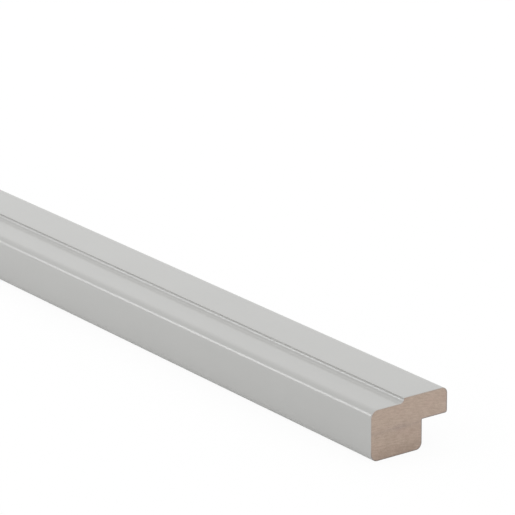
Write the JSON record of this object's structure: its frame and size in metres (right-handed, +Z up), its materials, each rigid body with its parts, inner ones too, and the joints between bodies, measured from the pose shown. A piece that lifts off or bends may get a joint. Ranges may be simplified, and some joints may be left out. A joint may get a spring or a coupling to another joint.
{
  "type": "cornice moulding",
  "caption": "Length of painted wooden cornice moulding, L-shaped in section, with a stepped and coved face, rounded arrises and a rebate that seats on a cabinet edge.",
  "frame": {"origin": "on the underside of the block, in the middle of the length and of the 60 mm width", "axes": "+X along the length, +Y from the front face to the back edge of the arm, +Z up from the underside to the face"},
  "size_m": [2.21, 0.06, 0.037],
  "materials": {
    "painted_wood": "satin",
    "sawn_wood": "matte"
  },
  "bodies": {
    "root": {"moulding": "painted_wood"}
  },
  "joints": []
}
